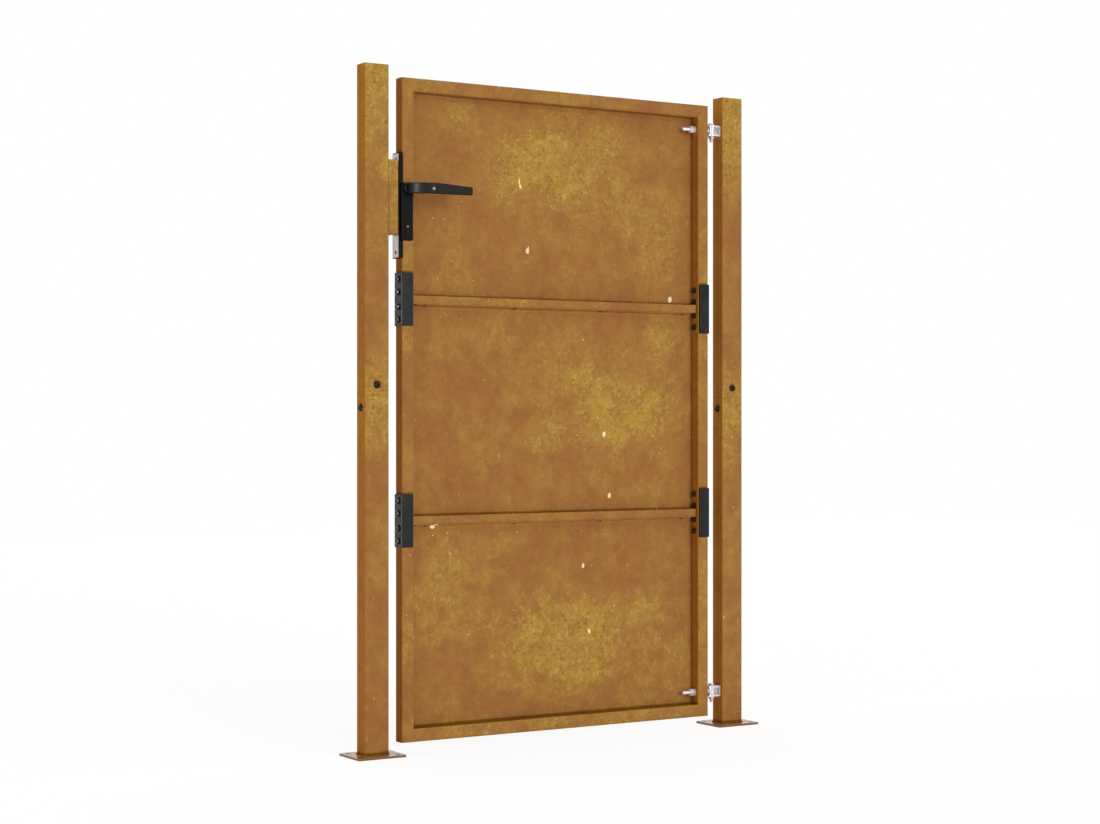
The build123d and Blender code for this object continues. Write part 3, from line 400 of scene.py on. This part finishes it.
def weathering_steel(name, blooms, flakes, roughness, gloss, ledge_shade_level):
    """Rust with its blooms and flakes. Dry rust looks soft, with a faint gloss on the old ground."""
    material, tree, shader = start_material(name, Specular_IOR_Level=gloss)
    coordinates = add_node(tree, "ShaderNodeTexCoord")
    place = coordinates.outputs["Object"]
    look = add_node(tree, "ShaderNodeSeparateXYZ", {0: coordinates.outputs["Normal"]})
    frayed, chipped, flat = skin_places(tree, place)
    mottle = add_node(tree, "ShaderNodeTexNoise", {
        "Vector": place, "Scale": 1 / patch_size, "Detail": 7, "Roughness": 0.66,
        "Distortion": 0.6}).outputs["Fac"]
    grain = add_node(tree, "ShaderNodeTexNoise", {
        "Vector": place, "Scale": 1 / grain_size, "Detail": 2, "Roughness": 0.6}).outputs["Fac"]

    colour, reach, young = grow_blooms(tree, place, frayed, blooms, mottle)
    colour = sink_pits(tree, flat, reach, colour)
    colour = draw_curls(tree, place, flat, reach, colour)
    colour, pale = lift_flakes(tree, chipped, flat, flakes, colour)
    # Painted shade: faces that look along the gate get a deeper brown.
    colour = paint_side_shade(tree, look.outputs["X"], colour)

    speckle = add_node(tree, "ShaderNodeMapRange", {
        "Value": grain, "From Min": 0.3, "From Max": 0.7, "To Min": 0.96, "To Max": 1.04}).outputs[0]
    uneven = add_node(tree, "ShaderNodeMapRange", {
        "Value": mottle, "From Min": 0.3, "From Max": 0.7, "To Min": 0.91, "To Max": 1.09}).outputs[0]
    # Painted shade on ledges and in corners, painted light just under ledges.
    shade = paint_corner_shade(tree, look.outputs["Z"], ledge_shade_level)
    shade = add_node(tree, "ShaderNodeMath", {0: shade, 1: speckle}, operation="MULTIPLY").outputs[0]
    shade = add_node(tree, "ShaderNodeMath", {0: shade, 1: uneven}, operation="MULTIPLY").outputs[0]
    # Painted shade: where the shade is darkest, the colour is also made more saturated.
    shade_saturation = add_node(tree, "ShaderNodeMapRange", {
        "Value": shade, "From Min": 0.4, "From Max": 0.9, "To Min": 1.12, "To Max": 1.0}).outputs[0]
    shaded = add_node(tree, "ShaderNodeHueSaturation", {
        "Saturation": shade_saturation, "Value": shade, "Color": colour})
    tree.links.new(shaded.outputs["Color"], shader.inputs["Base Color"])

    dull = add_node(tree, "ShaderNodeMapRange", {
        "Value": young, "To Min": roughness, "To Max": roughness + powder_dullness}).outputs[0]
    tree.links.new(dull, shader.inputs["Roughness"])
    crust = add_node(tree, "ShaderNodeMath", {0: grain, 1: grain_height, 2: mottle},
                     operation="MULTIPLY_ADD").outputs[0]
    crust = add_node(tree, "ShaderNodeMath", {0: pale, 1: flake_height, 2: crust},
                     operation="MULTIPLY_ADD").outputs[0]
    relief = add_node(tree, "ShaderNodeBump", {"Height": crust, "Strength": 0.3, "Distance": crust_depth})
    tree.links.new(relief.outputs[0], shader.inputs["Normal"])
    print(name, "has", len(tree.nodes), "nodes")
    return material


# %% [markdown]
# Sheet, tube and post wear the same dry skin and differ in where their blooms sit. The feet have no
# blooms. They lie on the damp ground, so their skin is smoother and shines a little, all over.

# %% The same rust on sheet, tube, post and foot
# The last value sets how much darker upward faces are painted; on the feet it is 1, so they get none of
# it.
dry_skin = {"roughness": 0.6, "gloss": 0.04, "ledge_shade_level": 0.55}
damp_skin = {"roughness": 0.18, "gloss": 0.5, "ledge_shade_level": 1.0}
rusty_sheet = weathering_steel("weathering_steel_sheet", sheet_blooms, sheet_flakes, **dry_skin)
rusty_frame = weathering_steel("weathering_steel_tube", frame_blooms, [], **dry_skin)
rusty_post = weathering_steel("weathering_steel_post", post_blooms, [], **dry_skin)
rusty_foot = weathering_steel("weathering_steel_foot", [], [], **damp_skin)

# %% [markdown]
# ## Black fittings
#
# The splice brackets are powder coated: plastic powder is sprayed on and baked, which leaves a satin skin
# with a faint orange peel of about 2 mm. The lock housing and the backplates have a flatter and darker
# coat. The lever is aluminium with a smooth coat. Where the thumb lies the coat is smoother, and a small
# light grey spot is painted there as a highlight. The lock cylinder is brass, blackened to match. A flat
# black would look cut out of paper, so each coat gets a little unevenness in its gloss and its relief.

# %% A black coat
painted_highlight_grey = "#C9C6CA"
coat_patch = 0.025
skin_depth = 0.0003
rub_polish = 0.25


def black_coat(name, dark, light, peel, relief, highlight_spots, **values):
    """A black coat. Its colour drifts between two hex codes and its skin has an orange peel, in mm.

    Where a thumb rubs it, the coat turns smooth, and a light grey is painted there as a highlight.
    """
    material, tree, shader = start_material(name, **values)
    place = add_node(tree, "ShaderNodeTexCoord").outputs["Object"]
    drift = add_node(tree, "ShaderNodeTexNoise", {"Vector": place, "Scale": 1 / coat_patch, "Detail": 4})
    part = add_node(tree, "ShaderNodeMapRange", {
        "Value": drift.outputs["Fac"], "From Min": 0.35, "From Max": 0.65}).outputs[0]
    tone = add_node(tree, "ShaderNodeMix", {
        "Factor": part, "A": linear(dark), "B": linear(light)}, data_type="RGBA")
    # Painted highlight: a light grey spot, also made smoother, where the thumb lies.
    highlight_and_polish = soft_spots(tree, place, highlight_spots)
    highlighted = add_node(tree, "ShaderNodeMix", {
        "Factor": highlight_and_polish, "A": tone.outputs["Result"], "B": linear(painted_highlight_grey)}, data_type="RGBA")
    tree.links.new(highlighted.outputs["Result"], shader.inputs["Base Color"])
    middle = values["Roughness"]
    gloss = add_node(tree, "ShaderNodeMapRange", {
        "Value": part, "To Min": middle - 0.05, "To Max": middle + 0.06}).outputs[0]
    gloss = add_node(tree, "ShaderNodeMath", {0: highlight_and_polish, 1: -rub_polish, 2: gloss},
                     operation="MULTIPLY_ADD").outputs[0]
    tree.links.new(gloss, shader.inputs["Roughness"])
    skin = add_node(tree, "ShaderNodeTexNoise", {"Vector": place, "Scale": 1000 / peel, "Detail": 2})
    bump = add_node(tree, "ShaderNodeBump", {
        "Height": skin.outputs["Fac"], "Strength": relief, "Distance": skin_depth})
    tree.links.new(bump.outputs[0], shader.inputs["Normal"])
    print(name, "peel of", peel, "mm")
    return material


# %% Powder coat, handle coat, plate coat and blackened brass
# Painted highlight on the lever, where the thumb lies.
thumb_highlight_spot = [(-375, 1273, 4.2, 4.2, 1)]
powder_coat = black_coat("black_powder_coat", "#08080A", "#121214", peel=2.0, relief=0.1, highlight_spots=[],
                         Roughness=0.3, Specular_IOR_Level=0.26)
handle_coat = black_coat("satin_black_handle_coat", "#0B0A0B", "#121113", peel=1.2, relief=0.06,
                         highlight_spots=thumb_highlight_spot, Roughness=0.44, Specular_IOR_Level=0.2)
plate_coat = black_coat("matt_black_plate_coat", "#09090B", "#101012", peel=1.5, relief=0.15, highlight_spots=[],
                        Roughness=0.4, Specular_IOR_Level=0.08)
black_brass = black_coat("blackened_brass", "#0C0C0C", "#161514", peel=0.8, relief=0.1, highlight_spots=[],
                         Roughness=0.3, Specular_IOR_Level=0.08)

# %% [markdown]
# ## Bare and plated metal
#
# The hinges are steel with an electroplated zinc skin. It has gone milky, so it is only half a mirror.
# The bolts and nuts of the splices are plated with black nickel, and the small screws with black zinc.
# All three drift in tone over patches of 6 mm. The lock faceplate, the latch and the deadbolt are plain
# steel. The faceplate is brushed along its length, and the brush leaves fine lines about 0.1 mm apart.
# These are too fine to show, so they are drawn 1 mm wide and 40 mm long.

# %% A metal that drifts in tone
def plated_metal(name, dark, light, patch, roughness, metallic):
    """A metal whose colour drifts between two hex codes over patches of a given size in metres."""
    material, tree, shader = start_material(name, Metallic=metallic)
    place = add_node(tree, "ShaderNodeTexCoord").outputs["Object"]
    scale = [1 / size for size in patch]
    stretched = add_node(tree, "ShaderNodeVectorMath", {0: place, 1: scale},
                         operation="MULTIPLY").outputs[0]
    drift = add_node(tree, "ShaderNodeTexNoise", {
        "Vector": stretched, "Scale": 1, "Detail": 4, "Roughness": 0.6}).outputs["Fac"]
    part = add_node(tree, "ShaderNodeMapRange", {
        "Value": drift, "From Min": 0.35, "From Max": 0.65}).outputs[0]
    tone = add_node(tree, "ShaderNodeMix", {
        "Factor": part, "A": linear(dark), "B": linear(light)}, data_type="RGBA")
    tree.links.new(tone.outputs["Result"], shader.inputs["Base Color"])
    gloss = add_node(tree, "ShaderNodeMapRange", {
        "Value": part, "To Min": roughness + 0.08, "To Max": roughness - 0.04})
    tree.links.new(gloss.outputs[0], shader.inputs["Roughness"])
    bump = add_node(tree, "ShaderNodeBump", {"Height": drift, "Strength": 0.08, "Distance": skin_depth})
    tree.links.new(bump.outputs[0], shader.inputs["Normal"])
    print(name, "patches of", patch, "m")
    return material


# %% Zinc, black nickel and brushed steel
plating_patch = (0.006, 0.006, 0.006)
brush_line = (0.001, 0.001, 0.04)
bright_zinc = plated_metal("milky_zinc_plating", "#CCC5CA", "#EAE4E8", plating_patch, roughness=0.28,
                           metallic=0.5)
black_zinc = plated_metal("black_zinc_plating", "#242120", "#322D2C", plating_patch, roughness=0.3,
                          metallic=1.0)
black_nickel = plated_metal("black_nickel_plating", "#4A494B", "#5C5B5D", plating_patch, roughness=0.22,
                            metallic=1.0)
brushed_steel = plated_metal("brushed_steel", "#B9ADAF", "#CCC1C3", brush_line, roughness=0.38,
                             metallic=1.0)

# %% [markdown]
# The plug of the lock cylinder is blackened like the body round it, but years of keys have polished a
# small bright spot round its slot. The spot could be a piece of its own, but wear has no edge, so it is
# a soft spot round the middle of the plug, read from the box of the piece. It drives both the tone and
# the gloss.

# %% Brass polished by the key
black_plug = "#161617"
polished_plug = "#B5B2B6"
polish_radius = 3.6
key_polish, tree, shader = start_material("key_polished_brass", Metallic=1.0)
place = add_node(tree, "ShaderNodeTexCoord").outputs["Object"]
low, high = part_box("cylinder_plug")
middle = (low + high) / 2
spot = soft_spots(tree, place, [(middle.x * 1000, middle.z * 1000, polish_radius, polish_radius, 1)])
tone = add_node(tree, "ShaderNodeMix", {
    "Factor": spot, "A": linear(black_plug), "B": linear(polished_plug)}, data_type="RGBA")
tree.links.new(tone.outputs["Result"], shader.inputs["Base Color"])
gloss = add_node(tree, "ShaderNodeMapRange", {"Value": spot, "To Min": 0.42, "To Max": 0.28})
tree.links.new(gloss.outputs[0], shader.inputs["Roughness"])
print("bright spot at", [round(value * 1000) for value in middle], "mm")

# %% [markdown]
# ## Dressing the pieces
#
# Each piece of the CAD model names a material slot in its record. The slot says what the piece is made
# of, so a short table from slot to finish dresses most of them. The name of the piece tells the rest
# apart: sheet, foot and post for the rust, and bolts, screws, plates and plug for the fittings.

# %% Give every piece its finish
slot_of = {row["node"]: row["material_slot"] for row in frame["record"]["subparts"]}
finishes = {
    "rust_steel": rusty_frame, "black_steel": powder_coat, "black_handle": handle_coat,
    "zinc_steel": bright_zinc, "lock_steel": brushed_steel, "cylinder_brass": black_brass,
}
for name, piece in nodes.items():
    finish = finishes[slot_of[name]]
    if name.endswith("_sheet"):
        finish = rusty_sheet
    elif name.endswith("_base_plate"):
        finish = rusty_foot
    elif name.startswith(("left_post", "right_post", "post_caps", "post_sleeves", "keeper")):
        finish = rusty_post
    elif name == "cylinder_plug":
        finish = key_polish
    elif name == "lock_housing" or name.endswith("_backplate"):
        finish = plate_coat
    elif name in ("splice_bolts", "splice_nuts"):
        finish = black_nickel
    elif name.endswith("_screws") and finish is powder_coat:
        finish = black_zinc
    for slot in piece.material_slots:
        slot.material = finish
used = {piece.material_slots[0].material.name for piece in nodes.values()}
print("dressed", len(nodes), "pieces with", len(used), "finishes")

# %% [markdown]
# ## Welds at the feet
#
# Each post is welded to its base plate all round. A weld is laid in small overlapping puddles, which
# leave ripples about 2.5 mm apart. A bevelled curve would give a smooth ring, so the bead is swept in
# mesh code: a bulging corner section goes round the post, and its reach swells with every ripple. The
# section closes inside the steel, so the bead is a solid ring without a gap.

# %% Join rings of points into a solid
def skin_over(name, rings, finish, closed):
    """A smooth solid over rings of points. A closed sweep joins its ends, an open one has end caps."""
    shape = bmesh.new()
    rings = [[shape.verts.new(point) for point in ring] for ring in rings]
    followers = rings[1:] + rings[:1] if closed else rings[1:]
    for ring, after in zip(rings, followers):
        for index in range(len(ring)):
            other = (index + 1) % len(ring)
            face = shape.faces.new((ring[index], after[index], after[other], ring[other]))
            face.smooth = True
    if not closed:
        for end in (rings[0], rings[-1]):
            shape.faces.new(end)
    bmesh.ops.recalc_face_normals(shape, faces=shape.faces)
    mesh = bpy.data.meshes.new(name)
    shape.to_mesh(mesh)
    shape.free()
    mesh.materials.append(finish)
    piece = bpy.data.objects.new(name, mesh)
    bpy.context.collection.objects.link(piece)
    print(name, "has", len(mesh.vertices), "points")
    return piece


# %% The way round a post
corner_steps = 4


def rounded_outline(half_width, half_depth, corner, step):
    """Points and outward directions along a rectangle with round corners, about step apart."""
    path = []
    corners = [(1, 1), (-1, 1), (-1, -1), (1, -1)]
    for index, (side_x, side_y) in enumerate(corners):
        middle = (side_x * (half_width - corner), side_y * (half_depth - corner))
        start = index * math.pi / 2
        for part in range(corner_steps + 1):
            angle = start + part * math.pi / 2 / corner_steps
            way = (math.cos(angle), math.sin(angle))
            path.append(((middle[0] + corner * way[0], middle[1] + corner * way[1]), way))
        next_x, next_y = corners[(index + 1) % len(corners)]
        far = (next_x * (half_width - corner), next_y * (half_depth - corner))
        way = (math.cos(start + math.pi / 2), math.sin(start + math.pi / 2))
        count = int(math.dist(middle, far) / step)
        for part in range(1, count):
            share = part / count
            spot = [a + (b - a) * share for a, b in zip(middle, far)]
            path.append(((spot[0] + corner * way[0], spot[1] + corner * way[1]), way))
    return path


print("each corner of a post turns in", corner_steps, "steps")

# %% Sweep a rippled bead round each post, in metres
post_corner = 0.0025
weld_leg = 0.003
ripple = 0.0025
swell = 0.14
bulge = 0.8


def weld_bead(name, post):
    """A fillet weld round the foot of a post, standing on the plate below it."""
    low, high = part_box(post)
    centre = (low + high) / 2
    sink = weld_leg / 8
    rings = []
    travelled = 0.0
    before = None
    outline = rounded_outline((high.x - low.x) / 2, (high.y - low.y) / 2, post_corner, ripple / 4)
    for spot, way in outline:
        travelled += math.dist(spot, before) if before else 0.0
        before = spot
        reach = weld_leg * (1 - swell + swell * abs(math.sin(math.pi * travelled / ripple)))
        section = [(-sink, -sink), (reach, -sink)]
        for part in range(corner_steps + 1):
            angle = part * math.pi / 2 / corner_steps
            section.append((reach * math.cos(angle) ** bulge, reach * math.sin(angle) ** bulge))
        section.append((-sink, reach))
        rings.append([(centre.x + spot[0] + out * way[0], centre.y + spot[1] + out * way[1], low.z + up)
                      for out, up in section])
    bead = skin_over(name, rings, rusty_post, closed=True)
    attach(bead, "posts")
    print(name, "runs", round(travelled * 1000), "mm round the post")


for side in ("left", "right"):
    weld_bead(f"{side}_foot_weld", f"{side}_post_lower")

# %% [markdown]
# ## A spring for the latch
#
# Inside the lock a coil spring pushes the latch out. The coil of the CAD model is stiff, so the latch
# would cut through it when the lever draws it back. A coil made here takes its place. A bevelled curve
# could draw the wire, but the coil is swept like the welds, along a helix whose end turns are wound
# close, as on a real compression spring.

# %% Wind the latch spring, in metres
wire = 0.001
turns = 8
steps_per_turn = 24
wire_sides = 10
end_pitch = 1.05 * wire
low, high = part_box("latch_spring")
middle = (low + high) / 2
coil_radius = (high.z - low.z - wire) / 2
open_pitch = (high.x - low.x - wire - 2 * end_pitch) / (turns - 2)
rings = []
for step in range(turns * steps_per_turn + 1):
    turn = step / steps_per_turn
    open_turns = min(max(turn - 1, 0), turns - 2)
    along = low.x + wire / 2 + open_turns * open_pitch + (turn - open_turns) * end_pitch
    angle = 2 * math.pi * turn
    ring = []
    for side in range(wire_sides):
        around = 2 * math.pi * side / wire_sides
        out = coil_radius + wire / 2 * math.cos(around)
        ring.append((along + wire / 2 * math.sin(around),
                     middle.y + out * math.cos(angle), middle.z + out * math.sin(angle)))
    rings.append(ring)
spring = skin_over("latch_spring_coil", rings, brushed_steel, closed=False)
print("spring of", turns, "turns,", round(1000 * (high.x - low.x), 1), "mm long")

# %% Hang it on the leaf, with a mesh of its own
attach(spring, "leaf")
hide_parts("latch_spring")
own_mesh(spring)

# %% [markdown]
# ## Floor and white background
#
# The gate stands in a white studio. More light could whiten it, but that would bleach the rust. So the
# world and the floor ask what kind of ray meets them: to the camera and to reflections they are white,
# and to the light on the gate they are a plain pale room. Part of the floor's white is real diffuse
# light, so the shadow of the gate stays on it.

# %% White to the camera
def seen_white(tree):
    """1 for what the camera sees, straight or in metal or glass, and 0 for light on the gate."""
    path = add_node(tree, "ShaderNodeLightPath")
    seen = add_node(tree, "ShaderNodeMath", {
        0: path.outputs["Is Camera Ray"], 1: path.outputs["Is Glossy Ray"]},
        operation="MAXIMUM").outputs[0]
    return add_node(tree, "ShaderNodeMath", {
        0: seen, 1: path.outputs["Is Transmission Ray"]}, operation="MAXIMUM").outputs[0]


even_light = 0.64
world = bpy.data.worlds.new("white_studio")
bpy.context.scene.world = world
world.use_nodes = True
background = world.node_tree.nodes["Background"]
background.inputs["Color"].default_value = (1, 1, 1, 1)
level = add_node(world.node_tree, "ShaderNodeMapRange", {
    "Value": seen_white(world.node_tree), "To Min": even_light})
world.node_tree.links.new(level.outputs[0], background.inputs["Strength"])
print("the world lights the gate at", even_light, "and is white to the camera")

# %% Pale floor
floor_half = 9
floor_drop = 0.0005
floor_grey = (0.95, 0.95, 0.95, 1)
shadow_grey = (0.22, 0.22, 0.22, 1)
floor_glow = 0.84
floor_mesh = bpy.data.meshes.new("studio_floor")
floor_sides = ((-1, -1), (1, -1), (1, 1), (-1, 1))
floor_corners = [(x * floor_half, y * floor_half, -floor_drop) for x, y in floor_sides]
floor_mesh.from_pydata(floor_corners, [], [(0, 1, 2, 3)])
floor = bpy.data.objects.new("studio_floor", floor_mesh)
bpy.context.collection.objects.link(floor)
floor_paint, tree, shader = start_material("white_floor_paint", Roughness=1.0, Specular_IOR_Level=0.0)
shader.inputs["Base Color"].default_value = floor_grey
faint = add_node(tree, "ShaderNodeBsdfDiffuse", {"Color": shadow_grey})
glow = add_node(tree, "ShaderNodeEmission", {"Color": (1, 1, 1, 1), "Strength": floor_glow})
white = add_node(tree, "ShaderNodeAddShader", {0: faint.outputs[0], 1: glow.outputs[0]})
either = add_node(tree, "ShaderNodeMixShader", {
    0: seen_white(tree), 1: shader.outputs[0], 2: white.outputs[0]})
tree.links.new(either.outputs[0], tree.nodes["Material Output"].inputs["Surface"])
floor_mesh.materials.append(floor_paint)
print("floor of", 2 * floor_half, "m")

# %% [markdown]
# ## Lamps
#
# The world gives an even light from all round. A soft lamp from the front makes the faces that look at
# the camera render about as their colours are written, and a smaller one from the left lifts the sides.
# In flat black faces such lamps would show as grey mirror images, so they light only what is matt. Two
# narrow lamps do the opposite and show only in shiny surfaces: one draws a line of light down the bent
# corners of the brackets, and the other puts a soft sheen on the lever.

# %% Two soft lamps and two glints
def distant_lamp(name, towards, energy, width, seen_by):
    """A lamp so far away that its light is parallel. Its width in degrees sets how soft shadows are.

    A soft lamp lights the matt surfaces, and a glint lamp shows only in the shiny ones.
    """
    lamp = bpy.data.lights.new(name, "SUN")
    lamp.energy = energy
    lamp.angle = math.radians(width)
    holder = bpy.data.objects.new(name, lamp)
    across = math.atan2(towards[0], -towards[1])
    height = math.atan2(towards[2], math.hypot(towards[0], towards[1]))
    holder.rotation_euler = (math.pi / 2 - height, 0, across)
    holder.visible_diffuse = seen_by == "matt"
    holder.visible_glossy = seen_by == "shiny"
    bpy.context.collection.objects.link(holder)
    print(name, "stands", round(math.degrees(across)), "degrees to the right and",
          round(math.degrees(height)), "up")


distant_lamp("front_lamp", (0.15, -0.97, 0.2), energy=1.14, width=30, seen_by="matt")
distant_lamp("left_lamp", (-0.95, 0.1, 0.35), energy=0.3, width=12, seen_by="matt")
distant_lamp("corner_glint", (-0.83, -0.47, 0.01), energy=2.4, width=5, seen_by="shiny")
distant_lamp("lever_glint", (0.249, -0.962, 0.106), energy=0.4, width=5, seen_by="shiny")

# %% [markdown]
# ## Camera
#
# The upright edges of the gate stay upright in the picture. A tilted camera would make them lean, so
# the camera looks level and its view is shifted a little instead. Its place and its focal length were
# worked out from the straight edges of the leaf and the posts.

# %% Camera at the photograph's place
picture_width = 1100
focal_pixels = 2156.01
horizon_above_middle = 8.02
camera_place = (-2.70908, -4.31244, 0.75358)
camera_heading = -31.896
camera_data = bpy.data.cameras.new("camera")
camera_data.sensor_width = 36
camera_data.lens = focal_pixels / picture_width * camera_data.sensor_width
camera_data.shift_y = horizon_above_middle / picture_width
camera = bpy.data.objects.new("camera", camera_data)
camera.location = camera_place
camera.rotation_euler = (math.radians(90), 0, math.radians(camera_heading))
bpy.context.collection.objects.link(camera)
bpy.context.scene.camera = camera
bpy.context.scene.view_settings.view_transform = "Standard"
print("lens", round(camera_data.lens, 2), "mm")
